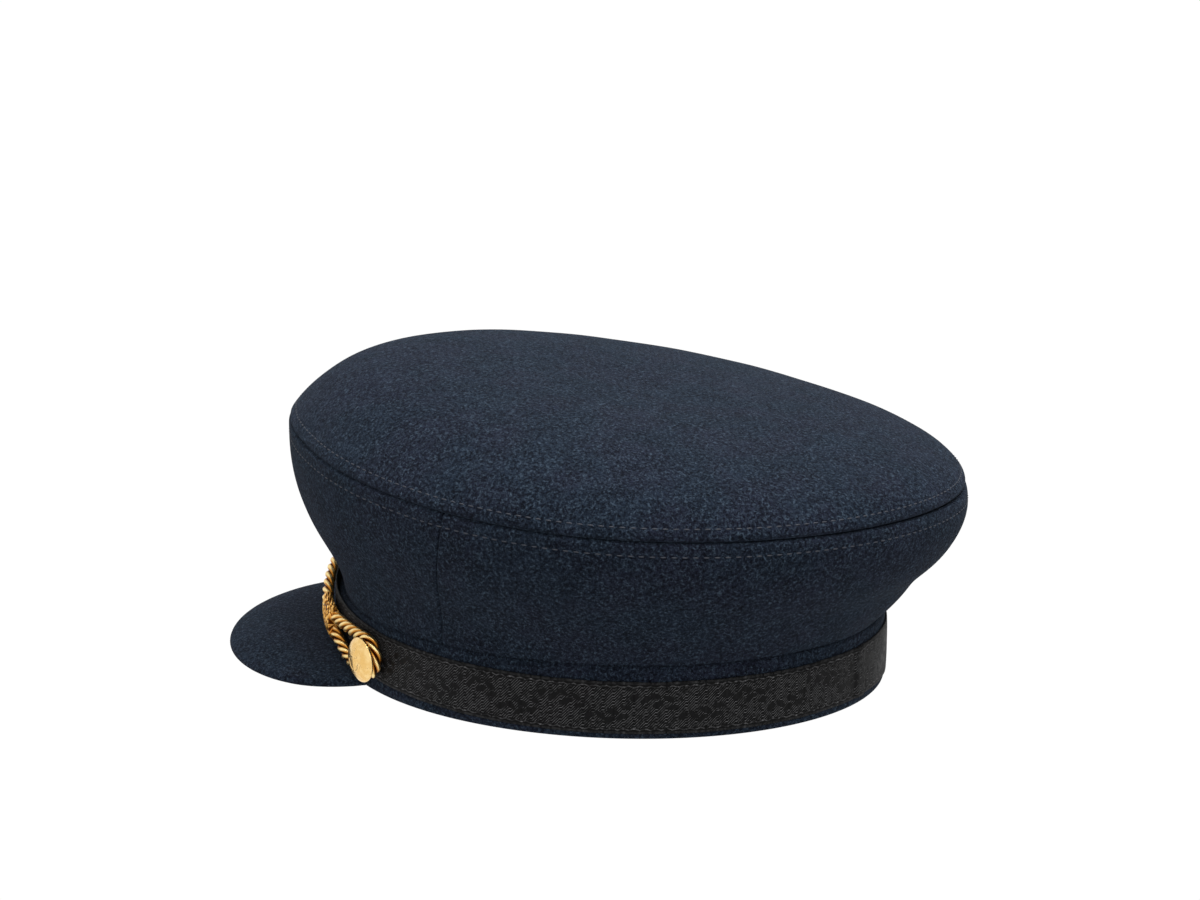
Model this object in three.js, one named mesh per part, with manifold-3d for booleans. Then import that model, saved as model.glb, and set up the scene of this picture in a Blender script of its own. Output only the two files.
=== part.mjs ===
// A captain hat in wool cloth: a wide oval crown on a head band with a woven ribbon, a short
// peak, and a gilt rope ornament held by two buttons.
// Millimetres and radians. +Z is up, the front is -Y and the wearer's left is +X. A turn is an
// angle round the head from the front towards the wearer's left.
import * as THREE from "three";
import { mergeVertices } from "three/addons/utils/BufferGeometryUtils.js";
import Module from "manifold-3d";

const radians = THREE.MathUtils.degToRad;
const { sin, cos, PI } = Math;

// Fits
const gap = 0.3; // between pieces that are sewn or held together

// Head band, which the hat rests on
const bandHalfWidth = 87;
const bandHalfLength = 103;
const bandHeight = 26.8;
const bandWall = 2.6;
const bandEdge = 0.5; // the turned edge at the bottom
const frontSwell = 2.6; // how much further out the band is at the front, over the peak

// Woven ribbon round the band
const ribbonWidth = 19.2;
const ribbonThick = 0.8;
const ribbonRise = 3.9; // the ribbon's lower edge above the band's bottom, on average
const ribbonTilt = 1.9; // how much higher it is at the front and lower at the back
const ribbonDip = 1.2; // and how far it sags at the flanks
const ribbonFrontRise = 5; // how much higher its upper edge stands at the front, behind the rope
const ribbonFrontClear = 3.5; // and its lower edge, over the peak
const ribbonLap = 5; // the length of the end that is lapped over the start
const ribbonJoint = radians(165);

// Crown
const clothWall = 2.2;
const crownHalfWidth = 109;
const frontOverhang = 21; // of the crown's rim, past the band
const backOverhang = 29;
const rimHeight = 81; // at the flanks
const crownPinch = 0.12; // how much narrower the oval is towards its ends
const domeHeight = 29.3; // of the crown's top above the rim, at the middle

// The crown's side at three places round the head. A curve leaves the band and reaches the rim:
// leave is the share of the overhang that its first handle has, and fall and swell place its
// second handle, as shares of the height below the rim and of the overhang past it.
const sideShapes = [
  { place: "front", leave: 0.02, fall: 0.62, swell: 0.12 },
  { place: "flank", leave: 0.23, fall: 0.44, swell: 0.06 },
  { place: "back", leave: 0.5, fall: 0.32, swell: 0.2 },
];

// The crown's top from front to back: rim and dome are shares of rimHeight and domeHeight, and
// across and down say how square the shoulder is along the top and down to the rim.
const topShapes = [
  { place: "front", rim: 1.15, dome: 1.32, across: 3.9, down: 1.1 },
  { place: "middle", rim: 1.0, dome: 0.97, across: 3.0, down: 1.75 },
  { place: "back", rim: 0.942, dome: 0.73, across: 2.1, down: 2.4 },
];

// The fold where the crown sags over the band at the back
const foldRise = 16; // above the band's top
const foldDepth = 2;
const foldSpread = 6;

// Seams between the crown's side panels, at the band and at the rim
const seamTurnLow = radians(68);
const seamTurnHigh = radians(75.5);

// Peak
const peakReach = 47.5; // in front of the band
const peakTurn = radians(43.5); // where the peak meets the band, each side
const peakHalfWidth = 66.5;
const peakWaist = 6; // the place where the peak is widest, behind the band's front
const peakThick = 3;
const peakLift = 6; // of the peak's middle above its ends, half way out
const liftAtRoot = 1.15; // and at the band, as a share of it
const liftAtEdge = 0.2;
const peakEdge = 0.9; // rounding of the peak's edge
const peakEndRise = 0.6; // how much higher its two ends stand, beside the band
const peakEnd = 2.5; // the width of its ends, beside the band

// Rope ornament: a rope from button to button that is doubled round each of them, and a keeper
// that holds each doubled end together. Places along it are lengths round the band from the
// front, and heights are above the band's bottom.
const ropeRadius = 2.2;
const ropeLay = 14; // length of one turn of the strands
const ropeStrands = 3;
const ropeRise = 33; // at the front
const ropeBow = 0.1; // how much further out the rope is at the front than at the buttons
const loopRadius = 6.7; // of the rope's middle line, round each button
const loopLift = 0.8; // the loop's middle above the button's
const loopShift = -0.8; // and past it, so a little before it
const legSagPlace = 14; // where the doubled end's lower leg sags, before the button
const legSagRise = 8.9;
const keeperPlace = 36;
const keeperRise = 20;
const keeperHalfLength = 13;
const keeperHeight = 13.6;
const keeperDepth = 5.9;
const keeperKnurl = 0.07;

// The keeper's outline: its size at shares of its half length towards the front and the button.
const keeperShape = [
  { along: -1, size: 0.42 },
  { along: -0.8, size: 0.56 },
  { along: -0.3, size: 0.74 },
  { along: 0.2, size: 0.87 },
  { along: 0.7, size: 0.97 },
  { along: 1, size: 0.93 },
];

// Buttons
const buttonRadius = 8.3;
const buttonDome = 2.6;
const buttonRim = 1.2;
const buttonTurn = radians(47.7);
const buttonRise = 14.2;
const shankRadius = 1.8;

// How finely the curved pieces are divided
const aroundSteps = 72;
const sideSteps = 7;
const topSteps = 8;

const wool = new THREE.MeshStandardMaterial({ color: 0x1b2536, roughness: 0.95, metalness: 0 });
const weave = new THREE.MeshStandardMaterial({ color: 0x121214, roughness: 0.55, metalness: 0 });
const gilt = new THREE.MeshStandardMaterial({ color: 0xd9a450, roughness: 0.28, metalness: 1 });

const bandReach = gap + ribbonThick; // the ribbon's outer face, out from the band
const crownFoot = bandHeight + gap;

function ovalPoint(turn, out, height, swell = frontSwell) {
  return new THREE.Vector3(
    (bandHalfWidth + out) * sin(turn),
    -(bandHalfLength + out + swell * Math.max(0, cos(turn)) ** 4) * cos(turn),
    height,
  );
}

// The value of a column between its front, middle and back rows, for along from 1 to -1.
function byPlace(rows, column, along) {
  const [front, middle, back] = rows.map((row) => row[column]);
  const slope = (front - back) / 2;
  return middle + slope * along + ((front + back) / 2 - middle) * along * along;
}

// A closed solid from sections, each a closed loop with the same number of points. The path
// either closes on itself, or its two ends are capped by joining each point of the loop's
// first half to its partner in the second.
function solidFromLoops(loops, ring) {
  const count = loops[0].length;
  const positions = loops.flat().flatMap((p) => [p.x, p.y, p.z]);
  const faces = [];
  const addFace = (a, b, c) => {
    const same = (i, j) =>
      Math.hypot(...[0, 1, 2].map((k) => positions[3 * i + k] - positions[3 * j + k])) < 1e-6;
    if (!same(a, b) && !same(b, c) && !same(a, c)) faces.push(a, b, c);
  };
  const addQuad = (a, b, c, d) => {
    addFace(a, b, c);
    addFace(a, c, d);
  };
  const spans = ring ? loops.length : loops.length - 1;
  for (let i = 0; i < spans; i++) {
    const here = i * count;
    const next = ((i + 1) % loops.length) * count;
    for (let j = 0; j < count; j++) {
      const k = (j + 1) % count;
      addQuad(here + j, next + j, next + k, here + k);
    }
  }
  if (!ring) {
    const last = (loops.length - 1) * count;
    for (let j = 0; j < Math.floor(count / 2) - 1; j++) {
      const partner = count - 1 - j;
      addQuad(j, j + 1, partner - 1, partner);
      addQuad(last + j, last + partner, last + partner - 1, last + j + 1);
    }
    if (count % 2) {
      const middle = Math.floor(count / 2);
      addFace(middle - 1, middle, middle + 1);
      addFace(last + middle + 1, last + middle, last + middle - 1);
    }
  }
  return outwardGeometry(positions, faces);
}

function outwardGeometry(positions, faces) {
  const at = (i) => new THREE.Vector3().fromArray(positions, 3 * i);
  let volume = 0;
  for (let i = 0; i < faces.length; i += 3) {
    volume += at(faces[i]).dot(at(faces[i + 1]).cross(at(faces[i + 2])));
  }
  const index = volume < 0 ? faces.slice().reverse() : faces;
  const geometry = new THREE.BufferGeometry();
  geometry.setAttribute("position", new THREE.Float32BufferAttribute(positions, 3));
  geometry.setIndex(index);
  return mergeVertices(geometry, 1e-4);
}

// Head band: an oval wall with a turned edge at the bottom.
function headBand() {
  const section = [
    [0, bandHeight],
    [0, bandEdge],
    [-bandEdge, 0],
    [bandEdge - bandWall, 0],
    [-bandWall, bandEdge],
    [-bandWall, bandHeight],
  ];
  const loops = [];
  for (let i = 0; i < aroundSteps; i++) {
    const turn = (2 * PI * i) / aroundSteps;
    loops.push(section.map(([out, height]) => ovalPoint(turn, out, height)));
  }
  return solidFromLoops(loops, true);
}

function ribbonLift(turn) {
  return ribbonRise + ribbonTilt * cos(turn) + ribbonDip * cos(2 * turn);
}

// Ribbon: one strip wound round the band, its end lapped over its start.
function ribbon() {
  const lapTurn = ribbonLap / bandHalfLength;
  const stepTurn = lapTurn / 2;
  const start = ribbonJoint - 2 * PI;
  const end = ribbonJoint + lapTurn;
  const turns = [];
  for (let i = 0; i <= aroundSteps; i++) turns.push(start + (2 * PI - stepTurn) * (i / aroundSteps));
  turns.push(ribbonJoint, ribbonJoint + lapTurn / 2, end);
  const lapped = ribbonThick + gap;
  const loops = turns.map((turn) => {
    const away = gap + lapped * THREE.MathUtils.smoothstep(turn, ribbonJoint - stepTurn, ribbonJoint);
    const low = ribbonLift(turn) + ribbonFrontClear * Math.max(0, cos(turn)) ** 4;
    const high = ribbonLift(turn) + ribbonWidth + ribbonFrontRise * Math.max(0, cos(turn)) ** 8;
    return [
      ovalPoint(turn, away + ribbonThick, high),
      ovalPoint(turn, away + ribbonThick, low),
      ovalPoint(turn, away, low),
      ovalPoint(turn, away, high),
    ];
  });
  return solidFromLoops(loops, false);
}

// The rim, where the crown's side meets its top.
const rimCentre = (backOverhang - frontOverhang) / 2;
const rimHalfLength = bandHalfLength + (backOverhang + frontOverhang) / 2;

// A point of the crown's top, share out from its middle towards the rim.
function topPoint(turn, share) {
  const along = share * cos(turn);
  const across = share * sin(turn);
  const rim = rimHeight * byPlace(topShapes, "rim", along);
  const dome = domeHeight * byPlace(topShapes, "dome", along);
  const squareAcross = byPlace(topShapes, "across", along);
  const squareDown = byPlace(topShapes, "down", along);
  return new THREE.Vector3(
    crownHalfWidth * across * (1 - crownPinch * along * along),
    rimCentre - rimHalfLength * along,
    rim + dome * (1 - share ** squareAcross) ** (1 / squareDown),
  );
}

// A point of the crown's side, share up from the band to the rim.
function sidePoint(turn, share) {
  const along = cos(turn);
  const leave = byPlace(sideShapes, "leave", along);
  const fall = byPlace(sideShapes, "fall", along);
  const swell = byPlace(sideShapes, "swell", along);
  const rest = 1 - share;
  const first = 3 * share * rest * rest;
  const second = 3 * share * share * rest;
  const out = first * leave + second * (1 + swell) + share ** 3;
  const up = first / 3 + second * (1 - fall) + share ** 3;
  const point = ovalPoint(turn, 0, crownFoot, 0).lerp(topPoint(turn, 1), out);
  point.z = crownFoot + (topPoint(turn, 1).z - crownFoot) * up;
  const nearFold = Math.exp(-(((point.z - crownFoot - foldRise) / foldSpread) ** 2));
  const atBack = Math.max(0, -along) ** 4;
  point.addScaledVector(ovalPoint(turn, 0, 0).normalize(), -foldDepth * nearFold * atBack);
  return point;
}

function seamTurn(share) {
  return THREE.MathUtils.lerp(seamTurnLow, seamTurnHigh, share);
}

// One line of the crown from the band up the side and over the top to its middle, as pairs of
// an outer and an inner point. The place is counted in steps between the two side seams: from
// 0 to 1 over the front panel, and on to 2 over the back one.
function crownLine(place) {
  const turnAt = (share) => {
    const seam = seamTurn(share);
    return place <= 1 ? seam * (2 * place - 1) : seam + (2 * PI - 2 * seam) * (place - 1);
  };
  const shares = [];
  for (let i = 0; i <= sideSteps; i++) shares.push(i / sideSteps);
  const side = (nudge) => shares.map((share) => sidePoint(turnAt(share) + nudge, share));
  const top = (nudge) => {
    const points = [];
    for (let i = 1; i <= topSteps; i++) {
      points.push(topPoint(turnAt(1) + nudge, cos((PI / 2) * (i / topSteps))));
    }
    return points;
  };
  const nudge = 1e-3;
  const line = [...side(0), ...top(0)];
  const beside = [...side(nudge), ...top(nudge)];
  const rim = sideSteps;
  const lastPoint = line.length - 1;
  const chordNormal = (i) => {
    const up = line[i + 1].clone().sub(line[i]);
    const round = beside[i].clone().sub(line[i]);
    if (round.length() < 1e-9) round.copy(beside[i + 1]).sub(line[i + 1]);
    return round.cross(up).normalize();
  };
  const pairs = line.map((outer, i) => {
    const normal = new THREE.Vector3();
    let stretch = 1;
    if (i === 0) {
      normal.copy(chordNormal(0)).setZ(0).normalize();
    } else if (i === lastPoint) {
      normal.set(0, 0, 1);
    } else {
      const below = chordNormal(i - 1);
      const above = i === lastPoint - 1 ? below : chordNormal(i);
      normal.copy(below).add(above).normalize();
      stretch = 1 / Math.max(0.75, normal.dot(below));
    }
    return [outer, outer.clone().addScaledVector(normal, -clothWall * stretch)];
  });
  return { side: pairs.slice(0, rim + 1), top: pairs.slice(rim) };
}

// Moves the pair at one end of a line along the line, so that a sewn seam keeps its gap.
function shortened(pairs, end) {
  const from = pairs[end];
  const towards = pairs[end === 0 ? 1 : end - 1];
  const step = towards[0].clone().sub(from[0]).setLength(gap / 2);
  const moved = from.map((point) => point.clone().add(step));
  return pairs.map((pair, i) => (i === end ? moved : pair));
}

function wallLoop(pairs) {
  return [...pairs.map((pair) => pair[0]), ...pairs.map((pair) => pair[1]).reverse()];
}

function sidePanel(firstPlace, steps) {
  const halfGap = gap / 2 / bandHalfWidth;
  const loops = [];
  for (let i = 0; i <= steps; i++) {
    const nudge = i === 0 ? halfGap : i === steps ? -halfGap : 0;
    const { side } = crownLine(firstPlace + i / steps + nudge);
    loops.push(wallLoop(shortened(side, sideSteps)));
  }
  return solidFromLoops(loops, false);
}

function crownTop(frontSteps, backSteps) {
  const places = [];
  for (let i = 0; i < frontSteps; i++) places.push(i / frontSteps);
  for (let i = 0; i < backSteps; i++) places.push(1 + i / backSteps);
  return solidFromLoops(
    places.map((place) => wallLoop(shortened(crownLine(place).top, 0))),
    true,
  );
}

// A point of the peak's outline, for a share from one end to the other: half an oval with a
// straighter stretch back to the band at each end.
function peakOutline(share) {
  const sideShare = 0.12;
  const waist = peakWaist - bandHalfLength;
  const end = ovalPoint(peakTurn, gap, 0);
  const fromEnd = Math.min(share, 1 - share) / sideShare;
  if (fromEnd < 1) {
    const wide = THREE.MathUtils.lerp(end.x + peakEnd, peakHalfWidth, 1 - (1 - fromEnd) ** 2);
    const y = THREE.MathUtils.lerp(end.y, waist, fromEnd);
    return new THREE.Vector3(share < 0.5 ? -wide : wide, y, 0);
  }
  const sweep = PI * ((share - sideShare) / (1 - 2 * sideShare) - 0.5);
  return new THREE.Vector3(
    peakHalfWidth * sin(sweep),
    waist - (peakReach + peakWaist) * cos(sweep),
    0,
  );
}

// Peak: a sheet from the band's lower edge out to its outline, with a rounded edge.
function peak() {
  const steps = 32;
  const rows = 5;
  const loops = [];
  for (let i = 0; i <= steps; i++) {
    const root = ovalPoint(peakTurn * (2 * (i / steps) - 1), gap, 0);
    const edge = peakOutline(i / steps);
    const endRise = peakEndRise * THREE.MathUtils.smoothstep(Math.abs((2 * i) / steps - 1), 0.7, 1);
    const upper = [];
    const lower = [];
    for (let j = 0; j <= rows; j++) {
      const point = root.clone().lerp(edge, j / rows);
      const middle = 1 - Math.abs(point.x / peakHalfWidth) ** 3;
      const bulge = 4 * (j / rows) * (1 - j / rows);
      const straight = THREE.MathUtils.lerp(liftAtRoot, liftAtEdge, j / rows);
      const lift = peakLift * middle * THREE.MathUtils.lerp(straight, 1, bulge) + endRise;
      const round = j === rows ? peakEdge : 0;
      upper.push(point.clone().setZ(lift + peakThick - round));
      lower.push(point.clone().setZ(lift + round));
    }
    loops.push([...upper, ...lower.reverse()]);
  }
  return solidFromLoops(loops, false);
}

// The turn at a length round the band from the front, at a distance out from the band.
function turnAtLength(length, out) {
  const step = radians(0.5);
  let turn = 0;
  let left = Math.abs(length);
  while (left > 0) {
    const stride = ovalPoint(turn, out, 0).distanceTo(ovalPoint(turn + step, out, 0));
    turn += step * Math.min(1, left / stride);
    left -= stride;
  }
  return Math.sign(length) * turn;
}

function lengthAtTurn(turn, out) {
  const steps = 60;
  let length = 0;
  for (let i = 0; i < steps; i++) {
    const here = ovalPoint((turn * i) / steps, out, 0);
    length += here.distanceTo(ovalPoint((turn * (i + 1)) / steps, out, 0));
  }
  return length;
}

const ropeOut = bandReach + 2 * gap + ropeRadius; // the rope's middle line, out from the band
const keeperOut = bandReach + gap + (keeperDepth / 2) * (1 + keeperKnurl); // and the keeper's
const buttonPlace = lengthAtTurn(buttonTurn, ropeOut);

// A point of the ornament's middle line, and the direction out from the head there.
function ornamentPoint(place, height) {
  const away = Math.abs(place);
  const out =
    away < keeperPlace
      ? THREE.MathUtils.lerp(ropeOut + ropeBow, keeperOut, THREE.MathUtils.smoothstep(away, 0, keeperPlace))
      : THREE.MathUtils.lerp(keeperOut, ropeOut, THREE.MathUtils.smoothstep(away, keeperPlace, buttonPlace));
  return ovalPoint(turnAtLength(place, ropeOut), out, height);
}

function outwardAt(point) {
  return new THREE.Vector3(point.x / bandHalfWidth ** 2, point.y / bandHalfLength ** 2, 0).normalize();
}

// The rope's middle line on the wearer's left: from the front to the keeper, and for the
// doubled end from inside the keeper round the button and back into it.
function ropeLines(side) {
  const at = (place, height) => ornamentPoint(side * place, height);
  const mouth = keeperPlace + keeperHalfLength;
  const slope = (buttonRise - keeperRise) / (buttonPlace - keeperPlace);
  const mouthRise = keeperRise + slope * keeperHalfLength;
  const spread = 1.2 * ropeRadius; // half the distance between the legs at the mouth
  const loop = [at(keeperPlace, keeperRise + ropeRadius), at(mouth, mouthRise + spread)];
  const bends = 8;
  for (let i = 0; i <= bends; i++) {
    const angle = radians(110) * (1 - (2 * i) / bends);
    const place = buttonPlace + loopShift + loopRadius * cos(angle);
    loop.push(at(place, buttonRise + loopLift + loopRadius * sin(angle)));
  }
  loop.push(at(buttonPlace - legSagPlace, legSagRise));
  loop.push(at(mouth, mouthRise - spread), at(keeperPlace, keeperRise - ropeRadius));
  return new THREE.CatmullRomCurve3(loop, false, "centripetal");
}

function frontLine() {
  const places = [-1, -0.5, 0, 0.5, 1].map((share) => share * keeperPlace);
  const points = places.map((place) => {
    const fall = (ropeRise - keeperRise) * Math.abs(place / keeperPlace) ** 1.3;
    return ornamentPoint(place, ropeRise - fall);
  });
  return new THREE.CatmullRomCurve3(points, false, "centripetal");
}

// A twisted rope along a curve: each strand is a round lobe of the turning section.
function rope(curve) {
  const strandRadius = ropeRadius / (1 + 1 / sin(PI / ropeStrands));
  const strandPlace = ropeRadius - strandRadius;
  const lobeAngles = [-0.6, 0, 0.6].map((share) => (share * PI) / ropeStrands);
  const section = [];
  for (let i = 0; i < ropeStrands; i++) {
    for (const angle of lobeAngles) {
      const reach = strandPlace * cos(angle) + Math.sqrt(strandRadius ** 2 - (strandPlace * sin(angle)) ** 2);
      section.push([(2 * PI * i) / ropeStrands + angle, reach]);
    }
  }
  const length = curve.getLength();
  const steps = Math.ceil(length / (ropeLay / 6));
  const loops = [];
  for (let i = 0; i <= steps; i++) {
    const point = curve.getPointAt(i / steps);
    const ahead = curve.getTangentAt(i / steps);
    const outward = outwardAt(point);
    const across = new THREE.Vector3().crossVectors(ahead, outward).normalize();
    outward.crossVectors(across, ahead);
    const twist = -(2 * PI * i * length) / (steps * ropeLay);
    loops.push(
      section.map(([angle, reach]) =>
        point
          .clone()
          .addScaledVector(outward, reach * cos(angle + twist))
          .addScaledVector(across, reach * sin(angle + twist)),
      ),
    );
  }
  return solidFromLoops(loops, false);
}

// A keeper: a swelling sleeve with a knurled surface, round the doubled rope.
function keeper(side) {
  const rows = 12;
  const points = 12;
  const slope = (buttonRise - keeperRise) / (buttonPlace - keeperPlace);
  const loops = [];
  for (let i = 0; i <= rows; i++) {
    const along = (2 * i) / rows - 1;
    const after = keeperShape.findIndex((row) => row.along >= along);
    const next = keeperShape[Math.max(1, after)];
    const last = keeperShape[Math.max(1, after) - 1];
    const share = (along - last.along) / (next.along - last.along);
    const size = THREE.MathUtils.lerp(last.size, next.size, share);
    const place = keeperPlace + along * keeperHalfLength;
    const middle = ornamentPoint(side * place, keeperRise + slope * along * keeperHalfLength);
    const outward = outwardAt(middle);
    const loop = [];
    for (let j = 0; j < points; j++) {
      const angle = (2 * PI * j) / points;
      const knurl = 1 + keeperKnurl * ((i + j) % 2 ? -1 : 1);
      const point = middle.clone().addScaledVector(outward, (keeperDepth / 2) * size * knurl * cos(angle));
      point.z += (keeperHeight / 2) * size * knurl * sin(angle);
      loop.push(point);
    }
    loops.push(loop);
  }
  return solidFromLoops(loops, false);
}

// Button: a domed disc on a shank, turned about the direction out from the band.
function button(side) {
  const back = bandReach + gap;
  const disc = ropeOut + ropeRadius + gap;
  const soften = buttonRim / 3;
  const profile = [
    new THREE.Vector2(0, back),
    new THREE.Vector2(shankRadius, back),
    new THREE.Vector2(shankRadius, disc),
    new THREE.Vector2(buttonRadius - soften, disc),
    new THREE.Vector2(buttonRadius, disc + soften),
    new THREE.Vector2(buttonRadius, disc + buttonRim - soften),
  ];
  const domeSteps = 5;
  for (let i = 0; i <= domeSteps; i++) {
    const angle = (PI / 2) * (i / domeSteps);
    const radius = i === domeSteps ? 0 : (buttonRadius - soften) * cos(angle);
    profile.push(new THREE.Vector2(radius, disc + buttonRim + buttonDome * sin(angle)));
  }
  const geometry = new THREE.LatheGeometry(profile, 20);
  const seat = ovalPoint(side * buttonTurn, 0, buttonRise);
  const turned = new THREE.Quaternion().setFromUnitVectors(new THREE.Vector3(0, 1, 0), outwardAt(seat));
  geometry.applyQuaternion(turned);
  geometry.translate(seat.x, seat.y, seat.z);
  return geometry;
}

const wasm = await Module();
wasm.setup();

function joined(geometries) {
  const solids = geometries.map((geometry) => {
    const merged = mergeVertices(geometry, 1e-4);
    return new wasm.Manifold(
      new wasm.Mesh({
        numProp: 3,
        vertProperties: merged.attributes.position.array,
        triVerts: new Uint32Array(merged.index.array),
      }),
    );
  });
  const whole = solids.reduce((sum, solid) => sum.add(solid)).getMesh();
  const geometry = new THREE.BufferGeometry();
  geometry.setAttribute("position", new THREE.BufferAttribute(whole.vertProperties, 3));
  geometry.setIndex(new THREE.BufferAttribute(whole.triVerts, 1));
  return geometry;
}

const hat = new THREE.Group();

function add(name, geometry, material) {
  const mesh = new THREE.Mesh(geometry, material);
  mesh.name = name;
  hat.add(mesh);
  return mesh;
}

const frontSteps = Math.round((aroundSteps * seamTurnLow) / PI);
const backSteps = aroundSteps - frontSteps;
add("head_band", headBand(), wool);
add("ribbon", ribbon(), weave);
add("side_panel_front", sidePanel(0, frontSteps), wool);
add("side_panel_back", sidePanel(1, backSteps), wool);
add("crown_top", crownTop(frontSteps, backSteps), wool);
add("peak", peak(), wool);
add(
  "rope_ornament",
  joined([rope(frontLine()), rope(ropeLines(1)), rope(ropeLines(-1)), keeper(1), keeper(-1)]),
  gilt,
);
add("button_left", button(1), gilt);
add("button_right", button(-1), gilt);

// The hat stands on its band, its outline centred on the origin.
const box = new THREE.Box3().setFromObject(hat);
const centre = box.getCenter(new THREE.Vector3());
hat.position.set(-centre.x, -centre.y, -box.min.z);

export default hat;
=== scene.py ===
"""A navy wool captain hat with a woven ribbon round its band, a gilt rope and two buttons.

Lengths are in millimetres and are turned into metres where a mesh is made. The front is -Y, the
wearer's left is +X, and a turn is an angle round the head from the front towards the left. The
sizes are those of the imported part.
"""

import bisect
import functools
from collections import namedtuple
from math import atan2, cos, exp, hypot, pi, radians, sin, sqrt, tau

import bmesh
import bpy
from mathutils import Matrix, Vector, noise


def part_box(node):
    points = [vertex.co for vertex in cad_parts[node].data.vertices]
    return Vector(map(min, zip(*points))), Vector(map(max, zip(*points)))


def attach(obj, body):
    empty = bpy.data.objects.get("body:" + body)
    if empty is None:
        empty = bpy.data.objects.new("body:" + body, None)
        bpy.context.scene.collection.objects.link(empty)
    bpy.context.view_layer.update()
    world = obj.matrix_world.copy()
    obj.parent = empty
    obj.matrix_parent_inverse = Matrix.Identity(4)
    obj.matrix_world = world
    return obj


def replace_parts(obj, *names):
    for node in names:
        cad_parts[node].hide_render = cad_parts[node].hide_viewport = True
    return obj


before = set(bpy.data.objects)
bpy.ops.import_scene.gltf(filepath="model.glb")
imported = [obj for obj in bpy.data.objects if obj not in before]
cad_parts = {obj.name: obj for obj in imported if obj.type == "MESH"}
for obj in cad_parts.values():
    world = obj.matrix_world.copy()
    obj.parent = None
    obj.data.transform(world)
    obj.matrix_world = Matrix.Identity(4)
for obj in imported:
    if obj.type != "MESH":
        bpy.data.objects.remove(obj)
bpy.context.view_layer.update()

MM = 0.001

# Fits and the head band
GAP = 0.3
BAND_HALF_WIDTH = 87.0
BAND_HALF_LENGTH = 103.0
BAND_HEIGHT = 26.8
BAND_WALL = 2.6
FRONT_SWELL = 2.6

# Woven ribbon
RIBBON_WIDTH = 19.2
RIBBON_THICK = 0.5
RIBBON_ROOM = 0.8
RIBBON_RISE = 3.9
RIBBON_TILT = 1.9
RIBBON_DIP = 1.2
RIBBON_FRONT_RISE = 5.0
RIBBON_FRONT_CLEAR = 3.5
RIBBON_FRONT_EASE = 1.1
RIBBON_LAP = 5.0
RIBBON_JOINT = radians(165)

# Crown
CLOTH_WALL = 2.0
CROWN_HALF_WIDTH = 109.0
FRONT_OVERHANG = 21.0
BACK_OVERHANG = 29.0
RIM_HEIGHT = 81.0
CROWN_PINCH = 0.12
DOME_HEIGHT = 29.3

SideShape = namedtuple("SideShape", "leave fall swell")
SIDE_SHAPES = (
    SideShape(0.02, 0.62, 0.12),
    SideShape(0.23, 0.44, 0.06),
    SideShape(0.5, 0.32, 0.2),
)

TopShape = namedtuple("TopShape", "rim dome across down")
TOP_SHAPES = (
    TopShape(1.15, 1.32, 3.9, 1.1),
    TopShape(1.0, 0.97, 3.0, 1.75),
    TopShape(0.942, 0.73, 2.1, 2.4),
)

FOLD_RISE = 16.0
FOLD_DEPTH = 2.0
FOLD_SPREAD = 6.0

SEAM_TURN_LOW = radians(68)
SEAM_TURN_HIGH = radians(75.5)

# Peak
PEAK_REACH = 47.5
PEAK_TURN = radians(43.5)
PEAK_HALF_WIDTH = 66.5
PEAK_WAIST = 6.0
PEAK_THICK = 3.0
PEAK_LIFT = 6.0
LIFT_AT_ROOT = 1.15
LIFT_AT_EDGE = 0.2
PEAK_END = 2.5
PEAK_END_RISE = 0.6

# Rope, keepers and buttons
ROPE_RADIUS = 2.2
ROPE_LAY = 14.0
ROPE_STRANDS = 3
ROPE_RISE = 33.0
ROPE_BOW = 0.1
LOOP_RADIUS = 6.7
LOOP_LIFT = 0.8
LOOP_SHIFT = -0.8
LEG_SAG_PLACE = 14.0
LEG_SAG_RISE = 8.9
KEEPER_PLACE = 36.0
KEEPER_RISE = 20.0
KEEPER_HALF_LENGTH = 13.0
KEEPER_HEIGHT = 13.6
KEEPER_DEPTH = 5.9
KEEPER_KNURL = 0.07
BUTTON_RADIUS = 8.3
BUTTON_DOME = 2.6
BUTTON_RIM = 1.2
BUTTON_TURN = radians(47.7)
BUTTON_RISE = 14.2
SHANK_RADIUS = 1.8

BAND_REACH = GAP + RIBBON_ROOM
CROWN_FOOT = BAND_HEIGHT + GAP
ROPE_OUT = BAND_REACH + 2 * GAP + ROPE_RADIUS
KEEPER_OUT = BAND_REACH + GAP + KEEPER_DEPTH / 2 * (1 + KEEPER_KNURL)

# How far the cloth is drawn in at its seams, and how wide the hollows are
SEAM_DEPTH = 1.1
SEAM_WIDTH = 0.75
SEAM_TUCK = 1.6
SIDE_SEAM_DEPTH = 0.5
SIDE_SEAM_WIDTH = 0.6
FOOT_DEPTH = 0.9
FOOT_WIDTH = 1.6
FOOT_UNEVENNESS = 0.5
FOOT_LAP = 2 * GAP
FRONT_LAP = 2.6
LAP_WIDTH = 1.2

# Topstitching beside the rim
STITCH_AWAY = 5.0
STITCH_PITCH = 3.4
STITCH_LENGTH = 2.3
STITCH_RADIUS = 0.26
STITCH_END = 0.55
STITCH_BOW = 0.3
STITCH_BED = 0.42
STITCH_DEPTH = 0.2
STITCH_WIDTH = 0.9

# Unevenness of steamed cloth and of the ribbon: how long the waves are and how high
BROAD_WAVE = 52.0
BROAD_HEIGHT = 0.75
NARROW_WAVE = 21.0
NARROW_HEIGHT = 0.3
WAVE_FADE = 12.0
PUCKER_WAVE = 9.0
PUCKER_HEIGHT = 0.22
WANDER_WAVE = 16.0
WANDER_HEIGHT = 0.3
RIBBON_CROWN = 0.12

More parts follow.
